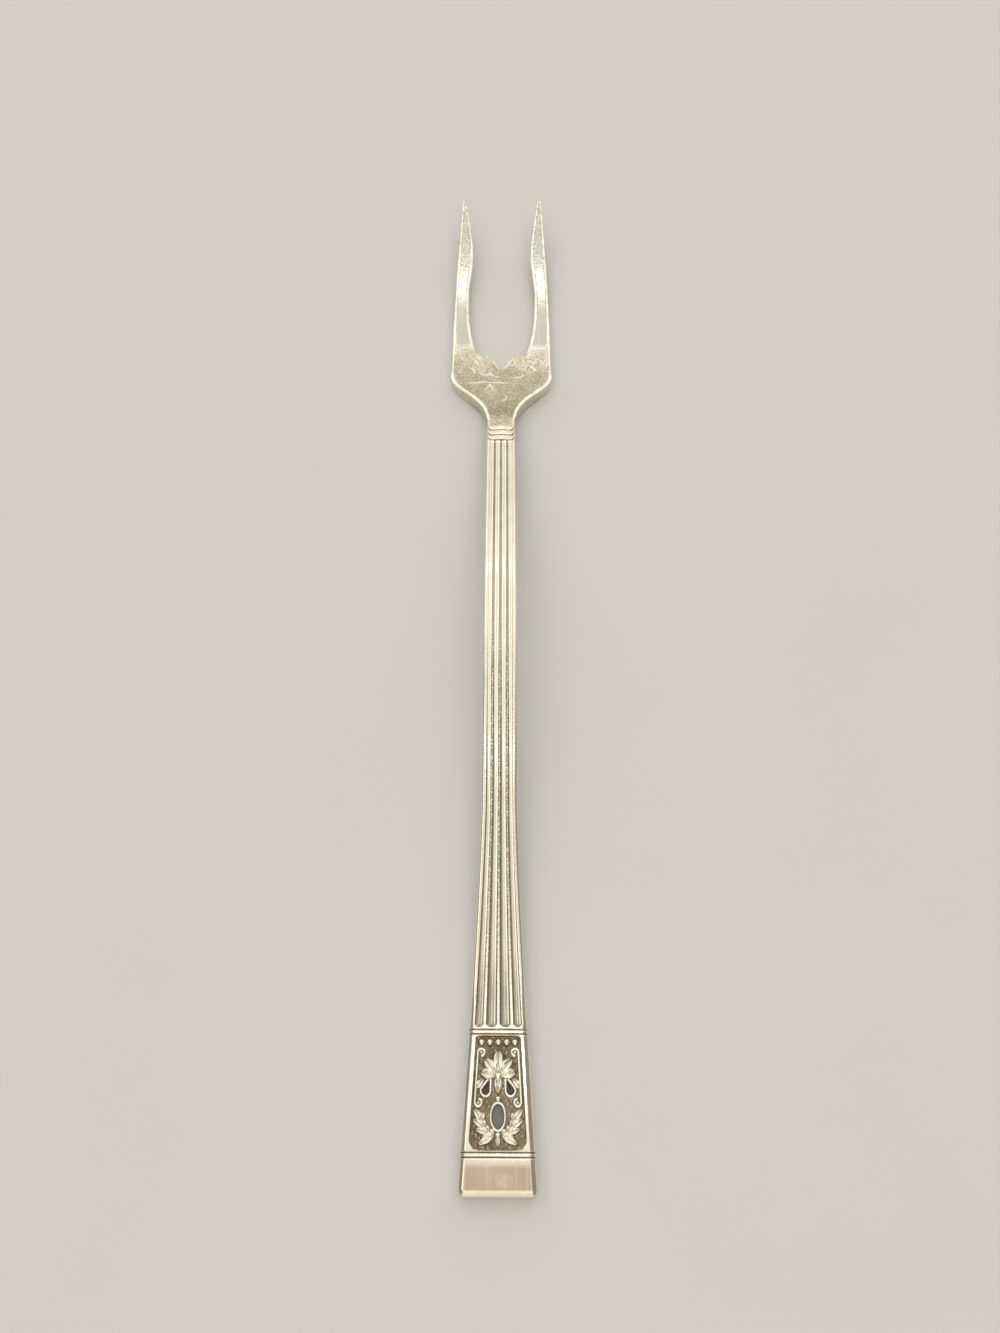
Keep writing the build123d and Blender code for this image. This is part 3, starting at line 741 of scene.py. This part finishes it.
def makeHandle():
    sizes = handleSizes
    end, low, top = fork["endY"], fork["panelLowY"], fork["panelTopY"]
    corner, turn, lip = sizes["endCorner"], sizes["windowCorner"], sizes["windowRim"] + sizes["windowLip"]
    lowLean, topLean = sizes["windowLeans"]
    endKnots = [
        (0, end, 0), (sizes["endHalfLow"] - corner, end, 0),
        (handleSide(end + corner), end + corner, sizes["endLean"]),
    ]
    lowKnots = [(0, low, 0), (windowHalf(low) - turn, low, 0), (windowHalf(low + turn), low + turn, lowLean)]
    turnTop = top - sizes["topCorner"]
    topKnots = [
        (windowHalf(turnTop), turnTop, topLean), (windowHalf(top) - sizes["topCorner"], top, 180),
        (0, top, 180),
    ]
    tabTop, tabIn = fork["tabTopY"] - sizes["bandIn"], end + sizes["tabIn"]

    def level(y0, y1):
        return axisRun(y0, y1), traceSide(handleSide, y0, y1), False

    edges = [
        (axisRun(end + sizes["endIn"], tabIn), traceKnots(endKnots), False),
        (axisRun(tabIn, tabTop), traceSide(handleSide, end + corner, tabTop), False),
        level(tabTop, low - lip),
        (traceKnots(lowKnots), traceSide(handleSide, low - lip, low + turn), True),
        (traceSide(windowHalf, low + turn, turnTop), traceSide(handleSide, low + turn, turnTop), True),
        (traceKnots(topKnots), traceSide(handleSide, turnTop, top + lip), True),
    ]
    levels = [
        top + lip, fork["fluteLowY"] - sizes["bandIn"], fork["fluteLowY"] + sizes["fluteIn"],
        fork["fluteTopY"] - sizes["fluteIn"], fork["fluteTopY"] + sizes["bandIn"], fork["jointY"],
    ]
    edges += [level(y0, y1) for y0, y1 in zip(levels, levels[1:])]
    form = dict(
        sizes, across=sum(sizes["columns"]), shares=handleShares, frontZ=handleFront, backZ=handleBack,
        outerRim=handleRim, innerRim=windowRim,
    )
    bm = halfPlate(pairUp(edges, sizes["counts"]), form)

    def measure(spot):
        x, y = abs(spot.x), spot.y
        flute, edges, beyond = fluteAt(x, y)[1], fluteEdges(y), sizes["windowBeyond"]
        atWindow = low - beyond < y < top + beyond and x < windowHalf(y) + sizes["windowBeside"]
        return {
            "y": y, "side": x, "fromSide": handleSide(y) - x, "line": lineShare(y),
            "window": float(atWindow), "flute": flute,
            "bowl": flute if x < handleHalf(y) - sizes["fluteClear"] else 0.0,
            "offFlute": x - edges[2], "offBorder": x - edges[3], "overFlute": y - fork["fluteLowY"],
            "underTop": fork["fluteTopY"] - y, "overTab": y - fork["tabTopY"], "overEnd": y - fork["endY"],
        }

    def tarnish(spot):
        if spot.z <= handleBack(spot.y) + handleThick(spot.y) * sizes["frontShare"]:
            return sizes["sideTarnish"]
        here = measure(spot)
        inFlute = max(total(sizes["fluteDarkening"], here), total(sizes["endTarnishAndShade"], here))
        return total(sizes["tarnish"], here) + inFlute

    def pitting(spot):
        return total(sizes["pitting"], measure(spot))

    def blush(spot):
        return total(sizes["blush"], measure(spot))

    finishPiece(bm, "flutedHandle", handleSilver, ["handle"], "silver_plate", sizes["sharp"],
                tarnish=tarnish, pitting=pitting, blush=blush)


makeHandle()


# beads across the neck

collarSizes = {
    "count": 3, "radius": 0.45, "broad": 0.98, "low": 0.75, "pitch": 1.18, "offset": 0.4, "reach": 2.06,
    "droop": 0.22, "round": 28, "along": 48, "sharp": 60, "footShade": (0.08, 0.0),
}


def makeCollar():
    sizes = collarSizes
    bm = bmesh.new()
    slope = atan(neckSlope)
    neckTop = handleBack(fork["jointY"]) + rise["neckThick"]

    def bowAt(x):
        return sizes["droop"] * (x / sizes["reach"]) ** 2

    for k in range(sizes["count"]):
        run = sizes["offset"] + (k - (sizes["count"] - 1) / 2) * sizes["pitch"]
        y = fork["jointY"] + run * cos(slope)
        z = neckTop + run * sin(slope)
        straight = sizes["reach"] - sizes["radius"]

        def place(column, row):  # a bar with round ends that bow down a little
            x = sizes["reach"] * sin(pi * (row / sizes["along"] - 0.5))
            radius = sqrt(max(0.0, sizes["radius"] ** 2 - max(0.0, abs(x) - straight) ** 2))
            angle = 2 * pi * (column % sizes["round"]) / sizes["round"]
            wide, high = radius * sizes["broad"], radius * sizes["low"]
            return Vector((x, y + wide * cos(angle), z - bowAt(x) + high * sin(angle)))

        gridOn(bm, sizes["round"], sizes["along"], place)
    bmesh.ops.remove_doubles(bm, verts=bm.verts, dist=weld["grid"])
    toMetres(bm)

    # painted shade where each bead meets the neck
    def tarnish(spot):
        flat = neckTop + (spot.y - fork["jointY"]) * neckSlope
        return ease(*sizes["footShade"], spot.z - flat + bowAt(spot.x))

    finishPiece(bm, "collarBeads", platedSilver, ["collar_beads"], "silver_plate", sizes["sharp"],
                tarnish=tarnish)


makeCollar()


# pierced panel

panelSizes = {
    "face": 1.5, "back": 0.1, "gap": 0.02, "corner": 1.1,
    "dropLength": 2.0, "dropRadius": 0.45, "dropSpread": 2.7, "dropLean": 20.0, "dropFromTop": 5.6,
    "ovalLength": 2.6, "ovalWidth": 1.4, "ovalFromBottom": 3.25,
    "rimRadius": 0.17, "rimGrow": 0.08, "pointGrow": 1.6,  # raised rims round the openings
    "plateSteps": 60, "roundSteps": 26, "edgeSteps": 6, "ovalSteps": 40, "sharp": 35,
    "groundTarnish": 1.05, "rimShade": (0.02, 0.12),
}
ovalSpot = Vector((0, fork["panelLowY"] + panelSizes["ovalFromBottom"]))
ground = panelSizes["face"]


def dropRun(side, grow=0.0):
    # outline of a drop-shaped opening
    sizes = panelSizes
    radius = sizes["dropRadius"] + grow
    point = sizes["dropLength"] - sizes["dropRadius"] + grow * sizes["pointGrow"]
    turn = degrees(acos(radius / point))
    steps, edgeSteps = sizes["roundSteps"], sizes["edgeSteps"]
    local = [heading(turn + (360 - 2 * turn) * k / steps) * radius for k in range(steps + 1)]
    low, high, tip = local[-1], local[0], Vector((point, 0))
    local += [low.lerp(tip, k / edgeSteps) for k in range(1, edgeSteps)] + [tip]
    local += [tip.lerp(high, k / edgeSteps) for k in range(1, edgeSteps)]
    along = heading(90 + side * sizes["dropLean"])
    across = Vector((-along.y, along.x))
    middle = Vector((side * sizes["dropSpread"] / 2, fork["panelTopY"] - sizes["dropFromTop"]))
    return [middle + along * p.x + across * p.y for p in local]


def ovalRun(grow=0.0):
    sizes = panelSizes
    wide, long = sizes["ovalWidth"] / 2 + grow, sizes["ovalLength"] / 2 + grow
    angles = [2 * pi * k / sizes["ovalSteps"] for k in range(sizes["ovalSteps"])]
    return [ovalSpot + Vector((wide * cos(angle), long * sin(angle))) for angle in angles]


def plateRun():
    sizes = panelSizes
    turn, gap = sizes["corner"], sizes["gap"]
    low, top = fork["panelLowY"] + gap, fork["panelTopY"] - gap
    lowLean, topLean = handleSizes["windowLeans"]
    knots = [
        (0, low, 0), (windowHalf(low) - turn - gap, low, 0),
        (windowHalf(low + turn) - gap, low + turn, lowLean), (windowHalf(top) - gap, top, topLean),
    ]
    right = [point for point, way in evenly(traceKnots(knots), sizes["plateSteps"])]
    return right + [Vector((-p.x, p.y)) for p in reversed(right[1:])]


def closedLoop(bm, points, z):
    verts = [bm.verts.new((p.x, p.y, z)) for p in points]
    return [bm.edges.new((a, b)) for a, b in zip(verts, verts[1:] + verts[:1])]


def tubeOn(bm, points, radius, z, closed=True, around=12, taper=3):
    # a tube along points on the panel, drawn to a point at both ends unless it is closed
    count = len(points)

    def place(column, row):
        here = row % count if closed else row
        before = points[(here - 1) % count] if closed else points[max(0, here - 1)]
        after = points[(here + 1) % count] if closed else points[min(count - 1, here + 1)]
        way = (after - before).normalized()
        share = 1.0 if closed else sqrt(clamp(min(here, count - 1 - here) / taper))
        angle = 2 * pi * (column % around) / around
        spot = points[here] + Vector((-way.y, way.x)) * radius * share * cos(angle)
        return Vector((spot.x, spot.y, z + radius * share * sin(angle)))

    tube = gridOn(bm, around, count if closed else count - 1, place)
    bmesh.ops.remove_doubles(bm, verts=tube, dist=weld["grid"])


def makePanel():
    sizes = panelSizes
    bm = bmesh.new()
    edges = []
    for loop in (plateRun(), dropRun(-1), dropRun(1), ovalRun()):
        edges += closedLoop(bm, loop, sizes["face"])
    bmesh.ops.triangle_fill(bm, use_beauty=True, use_dissolve=False, edges=edges)
    back = bmesh.ops.extrude_face_region(bm, geom=bm.faces[:])["geom"]
    bmesh.ops.translate(bm, verts=[g for g in back if isinstance(g, bmesh.types.BMVert)],
                        vec=(0, 0, sizes["back"] - sizes["face"]))
    grow = sizes["rimGrow"]
    for loop in (dropRun(-1, grow), dropRun(1, grow), ovalRun(grow)):
        tubeOn(bm, loop, sizes["rimRadius"], sizes["face"])
    toMetres(bm)

    def tarnish(spot):
        return sizes["groundTarnish"] - ease(*sizes["rimShade"], spot.z - sizes["face"])

    finishPiece(bm, "openworkPanel", tonedSilver, ["openwork_panel"], "toned_silver", sizes["sharp"],
                tarnish=tarnish)


makePanel()


# relief on the panel

reliefSizes = {
    "dome": [  # profile of a dome with a small foot, in shares of its radius
        (0, -0.04), (1.0, -0.04), (1.0, 0.10), (0.93, 0.36), (0.78, 0.62), (0.55, 0.84), (0.28, 0.96),
        (0, 1.0),
    ],
    "domeSteps": 22, "stemLift": 0.04, "sharp": 50, "shade": (0.9, 0.12),
    # a leaf's outline, its section and ends, and the depth and width of its channel and midrib
    "across": 16, "along": 22, "sunk": 0.05, "leaf": 0.72, "petal": 1.25, "swell": 0.85, "tipLeast": 0.02,
    "section": 3.2, "rootShare": 0.06, "endTurn": 0.8, "endPower": 0.45,
    "channel": (0.42, 0.36), "midrib": (0.30, 0.11), "vein": 0.06, "veinAlong": 14, "veinAcross": 5,
}


def domeOn(bm, centre, radius):
    sizes = reliefSizes
    verts = [bm.verts.new((centre.x + r * radius, centre.y, ground + z * radius)) for r, z in sizes["dome"]]
    edges = [bm.edges.new((a, b)) for a, b in zip(verts, verts[1:])]
    bmesh.ops.spin(bm, geom=verts + edges, cent=(centre.x, centre.y, 0), axis=(0, 0, 1),
                   angle=2 * pi, steps=sizes["domeSteps"], use_merge=True)


def leafOn(bm, root, angle, length, width, height, curl=0.0, shape="leaf"):
    # a blade with raised edges, a channel and a midrib, its edges sunk into the panel
    sizes = reliefSizes
    across, along = sizes["across"], sizes["along"]
    way, side = heading(angle), heading(angle + 90)

    def place(column, row):
        u, v = column / across * 2 - 1, row / along
        swell = sin(pi * v ** sizes[shape]) ** sizes["swell"]
        half = width / 2 * max(sizes["tipLeast"], swell)
        fromRoot = clamp(sizes["rootShare"] + (1 - sizes["rootShare"]) * v)
        ends = sin(pi * fromRoot ** sizes["endTurn"]) ** sizes["endPower"]
        lift = sqrt(clamp(1 - abs(u) ** sizes["section"])) * ends
        channel = bell(u, *sizes["channel"]) - bell(u, *sizes["midrib"])
        vein = sizes["vein"] * cos(sizes["veinAlong"] * v - sizes["veinAcross"] * abs(u)) * (1 - abs(u))
        z = height * lift * (1 - channel + vein)
        spot = root + way * length * v + side * (half * u + curl * v * v * length)
        return Vector((spot.x, spot.y, ground - sizes["sunk"] + max(0.0, z)))

    verts = set(gridOn(bm, across, along, place))
    edges = [e for e in bm.edges if e.is_boundary and e.verts[0] in verts]
    bmesh.ops.holes_fill(bm, edges=edges, sides=0)


def finishRelief(bm, name, nodes, height):
    bmesh.ops.remove_doubles(bm, verts=bm.verts, dist=weld["relief"])
    toMetres(bm)
    high, low = [share * height for share in reliefSizes["shade"]]

    # darker towards the panel ground: tarnish on the toned ground and painted shade round the foot of each
    # motif
    def tarnish(spot):
        return ease(high, low, spot.z - ground)

    finishPiece(bm, name, tonedSilver, nodes, "toned_silver", reliefSizes["sharp"], tarnish=tarnish)


rowSizes = {"count": 5, "radius": 0.42, "pitch": 0.92, "fromTop": 0.6}


def makeBeadRow():
    sizes = rowSizes
    bm = bmesh.new()
    for k in range(sizes["count"]):
        x = (k - (sizes["count"] - 1) / 2) * sizes["pitch"]
        domeOn(bm, Vector((x, fork["panelTopY"] - sizes["fromTop"])), sizes["radius"])
    finishRelief(bm, "beadRow", ["bead_row"], sizes["radius"])


makeBeadRow()

palmetteSizes = {
    "petals": 5, "length": 2.9, "width": 1.3, "shrink": 0.4, "fan": 36.0, "curl": 0.04, "fromTop": 4.15,
    "height": 0.48, "budLength": 1.9, "budWidth": 1.05, "boss": 0.5,
    "slimSteps": (-1.5, -0.5, 0.5, 1.5), "slimLength": 2.45, "slimWidth": 0.75, "slimShare": 0.6,
}
petalRoot = Vector((0, fork["panelTopY"] - palmetteSizes["fromTop"]))


def makePalmette():
    sizes = palmetteSizes
    bm = bmesh.new()
    for k in range(sizes["petals"]):
        step = k - (sizes["petals"] - 1) / 2
        length = sizes["length"] - sizes["shrink"] * abs(step)
        leafOn(bm, petalRoot, 90 + sizes["fan"] * step, length, sizes["width"], sizes["height"],
               curl=sizes["curl"] * step, shape="petal")
    for step in sizes["slimSteps"]:  # slim petals that show between the broad ones
        leafOn(bm, petalRoot, 90 + sizes["fan"] * step, sizes["slimLength"], sizes["slimWidth"],
               sizes["height"] * sizes["slimShare"], shape="petal")
    leafOn(bm, petalRoot, -90, sizes["budLength"], sizes["budWidth"], sizes["height"])
    domeOn(bm, petalRoot, sizes["boss"])
    finishRelief(bm, "palmetteFan", ["palmette"], sizes["height"])


makePalmette()

scrollSizes = {
    "fromRail": 0.28, "top": 1.65, "low": 6.75, "stem": 0.20, "curl": 0.37, "turn": 290, "eye": 0.22,
    "sprigLength": 1.5, "sprigWidth": 0.8, "sprigLean": 36.0, "sprigFromLow": 1.4, "height": 0.36,
    "curlSteps": 36, "stemSteps": 30,
}


def makeScrolls():
    sizes = scrollSizes
    bm = bmesh.new()
    for side in (-1, 1):
        ends = []
        for fromTop in (sizes["low"], sizes["top"]):
            y = fork["panelTopY"] - fromTop
            ends.append(Vector((side * (windowHalf(y) - sizes["fromRail"]), y)))
        way = (ends[1] - ends[0]).normalized()
        lean = degrees(atan2(way.y, way.x))
        outward = lean - side * 90  # from the middle of a curl to its stem
        curls, steps = [], sizes["curlSteps"]
        for end, turn in zip(ends, (-side, side)):
            middle = end - heading(outward) * sizes["curl"]
            angles = [outward + turn * sizes["turn"] * k / steps for k in range(steps + 1)]
            curls.append([middle + heading(angle) * sizes["curl"] for angle in angles])
            domeOn(bm, middle, sizes["eye"])
        straight = [ends[0].lerp(ends[1], k / sizes["stemSteps"]) for k in range(1, sizes["stemSteps"])]
        stem = curls[0][::-1] + straight + curls[1]
        tubeOn(bm, stem, sizes["stem"], ground + reliefSizes["stemLift"], closed=False)
        leafOn(bm, ends[0] + way * sizes["sprigFromLow"], lean + side * sizes["sprigLean"],
               sizes["sprigLength"], sizes["sprigWidth"], sizes["height"])
    finishRelief(bm, "sideScrolls", ["side_scrolls"], sizes["height"])


makeScrolls()

spraySizes = {
    "radius": 1.82, "start": 14.0, "step": 22.0, "leaves": 4, "stem": 0.16, "stemSteps": 40,
    "width": 0.88, "height": 0.38, "leanAndLength": ((-26.0, 1.5), (24.0, 0.9)),  # outer and inner leaves
    "tailLength": 2.1, "tailLean": 60.0, "tailWidth": 0.95,
    "footLength": 1.15, "footWidth": 0.7, "footDrop": 0.1,
}


def makeSprays():
    sizes = spraySizes
    height = sizes["height"]
    bm = bmesh.new()
    for side in (-1, 1):
        span, steps = sizes["step"] * sizes["leaves"], sizes["stemSteps"]
        angles = [-90 + side * (sizes["start"] + span * k / steps) for k in range(steps + 1)]
        stem = [ovalSpot + heading(angle) * sizes["radius"] for angle in angles]
        tubeOn(bm, stem, sizes["stem"], ground + reliefSizes["stemLift"], closed=False)
        for k in range(sizes["leaves"]):
            place = -90 + side * (sizes["start"] + sizes["step"] * k)
            root = ovalSpot + heading(place) * sizes["radius"]
            for lean, length in sizes["leanAndLength"]:
                leafOn(bm, root, place + side * (90 + lean), length, sizes["width"], height)
        leafOn(bm, stem[0], -90 + side * sizes["tailLean"], sizes["tailLength"], sizes["tailWidth"], height)
    foot = ovalSpot - Vector((0, sizes["radius"] + sizes["footDrop"]))
    leafOn(bm, foot, -90, sizes["footLength"], sizes["footWidth"], height)
    finishRelief(bm, "leafSprays", ["leaf_sprays"], height)


makeSprays()

berrySizes = {"radius": 0.36}


def makeBerries():
    radius = berrySizes["radius"]
    bm = bmesh.new()
    domeOn(bm, ovalSpot - Vector((0, spraySizes["radius"])), radius)
    domeOn(bm, petalRoot - Vector((0, palmetteSizes["budLength"] + radius)), radius)
    finishRelief(bm, "berryDomes", ["berries"], radius)


makeBerries()
print("relief made")


# floor, light and camera

stageLook = {
    "floorSize": 4.0, "floor": rgb(0.72, 0.735, 0.765), "floorShade": rgb(0.69, 0.705, 0.735),
    "cloud": (30.0, 4.0, 0.55), "rough": 0.85,
}


def makeFloor():
    material = bpy.data.materials.new("paleFloor")
    wire = startTree(material)
    cloud = speckle(wire, wire.make("ShaderNodeTexCoord", out="Object"), *stageLook["cloud"])
    colour = tint(wire, cloud, stageLook["floor"], stageLook["floorShade"])
    surface = {"Base Color": colour, "Roughness": stageLook["rough"]}
    shader = wire.make("ShaderNodeBsdfPrincipled", None, surface)
    wire.make("ShaderNodeOutputMaterial", None, {"Surface": shader})
    bm = bmesh.new()
    bmesh.ops.create_grid(bm, x_segments=1, y_segments=1, size=stageLook["floorSize"] / 2)
    floor = addMesh(bm, "floor", material)


makeFloor()

skyLook = {  # colour of the room from the far horizon over the top to the near horizon, and at the sides
    "strength": 1.0,
    "stops": [
        (0.00, (0.70, 0.64, 0.53)), (0.07, (1.00, 0.94, 0.80)), (0.135, (1.02, 0.95, 0.82)),
        (0.165, (0.79, 0.75, 0.655)), (0.20, (0.82, 0.795, 0.72)), (0.228, (0.98, 0.95, 0.87)),
        (0.262, (1.00, 0.98, 0.90)), (0.285, (0.94, 0.92, 0.85)), (0.35, (0.96, 0.93, 0.85)),
        (0.40, (0.96, 0.93, 0.85)), (0.44, (0.96, 0.92, 0.83)), (0.48, (0.92, 0.85, 0.75)),
        (0.50, (0.88, 0.80, 0.70)), (0.54, (1.28, 1.19, 1.02)), (0.66, (1.25, 1.15, 0.97)),
        (0.80, (1.00, 0.92, 0.76)), (1.00, (0.85, 0.75, 0.58)),
    ],
    "side": rgb(0.31, 0.275, 0.22), "sideFrom": 0.32, "sideTo": 0.66,
    "glows": [  # way, angles where it starts and is full, colour
        ((-0.555, 0.689, 0.467), 27.0, 9.0, rgb(1.28, 1.25, 1.18)),
        ((0.560, 0.685, 0.467), 26.0, 8.0, rgb(1.22, 1.18, 1.10)),
        ((-0.640, 0.080, 0.765), 17.0, 7.0, rgb(1.40, 1.36, 1.28)),
        ((-0.465, 0.490, 0.735), 16.0, 7.0, rgb(1.30, 1.25, 1.12)),
        ((0.465, 0.490, 0.735), 16.0, 7.0, rgb(1.30, 1.25, 1.12)),
        ((0.500, 0.310, 0.810), 13.0, 5.0, rgb(1.20, 1.16, 1.06)),
        ((-0.450, 0.310, 0.835), 13.0, 5.0, rgb(1.20, 1.16, 1.06)),
    ],
}


def makeSky():
    world = bpy.data.worlds.new("room")
    bpy.context.scene.world = world
    wire = startTree(world)
    way = wire.make("ShaderNodeTexCoord")  # the direction that is looked in
    across, forward, up = split(way)
    over = reckon(wire, "ARCTAN2", up, forward) * (1 / pi)
    colour = wire.make("ShaderNodeValToRGB", {"stops": skyLook["stops"]}, {0: over})
    beside = between(reckon(wire, "ABSOLUTE", across), skyLook["sideFrom"], skyLook["sideTo"])
    colour = tint(wire, beside, colour, skyLook["side"])
    for aim, start, full, shine in skyLook["glows"]:
        near = wire.make("ShaderNodeVectorMath", {"operation": "DOT_PRODUCT"}, {0: way, 1: aim}, out="Value")
        glow = between(near, cos(radians(start)), cos(radians(full)))
        colour = tint(wire, glow, colour, shine)
    sky = wire.make("ShaderNodeBackground", None, {"Color": colour, "Strength": skyLook["strength"]})
    wire.make("ShaderNodeOutputWorld", None, {"Surface": sky})


makeSky()

lampLook = {  # place, aim, size across and along, watts, colour
    "farBox": ((0.03, 0.628, 0.672), (0, 0.06, 0), (0.18, 0.022), 0.045, (1.0, 0.97, 0.92)),
    "topBox": ((0.012, 0.07, 0.88), (0, -0.03, 0), (0.03, 0.035), 0.10, (1.0, 0.98, 0.96)),
}


def makeLamps():
    for name, (place, aim, size, watts, colour) in lampLook.items():
        lamp = bpy.data.lights.new(name, "AREA")
        lamp.shape, lamp.size, lamp.size_y = "RECTANGLE", *size
        lamp.energy, lamp.color = watts, colour
        box = addThing(name, lamp)
        box.location = place
        box.rotation_euler = (Vector(aim) - Vector(place)).to_track_quat("-Z", "Y").to_euler()


makeLamps()

cameraLook = {
    "lens": 27.0, "sensor": 36.0, "place": (0.0, -0.0826, 0.118), "down": 60.0, "roll": 0.26,
    "nearest": 0.01, "farthest": 20.0,
}


def makeCamera():
    camera = bpy.data.cameras.new("camera")
    camera.lens, camera.sensor_width = cameraLook["lens"], cameraLook["sensor"]
    camera.clip_start, camera.clip_end = cameraLook["nearest"], cameraLook["farthest"]
    view = addThing("camera", camera)
    tilt = Matrix.Rotation(radians(90 - cameraLook["down"]), 3, "X")
    view.rotation_euler = (tilt @ Matrix.Rotation(radians(cameraLook["roll"]), 3, "Z")).to_euler()
    view.location = cameraLook["place"]
    bpy.context.scene.camera = view


makeCamera()
bpy.context.scene.view_settings.view_transform = "Standard"
print("stage, light and camera set")
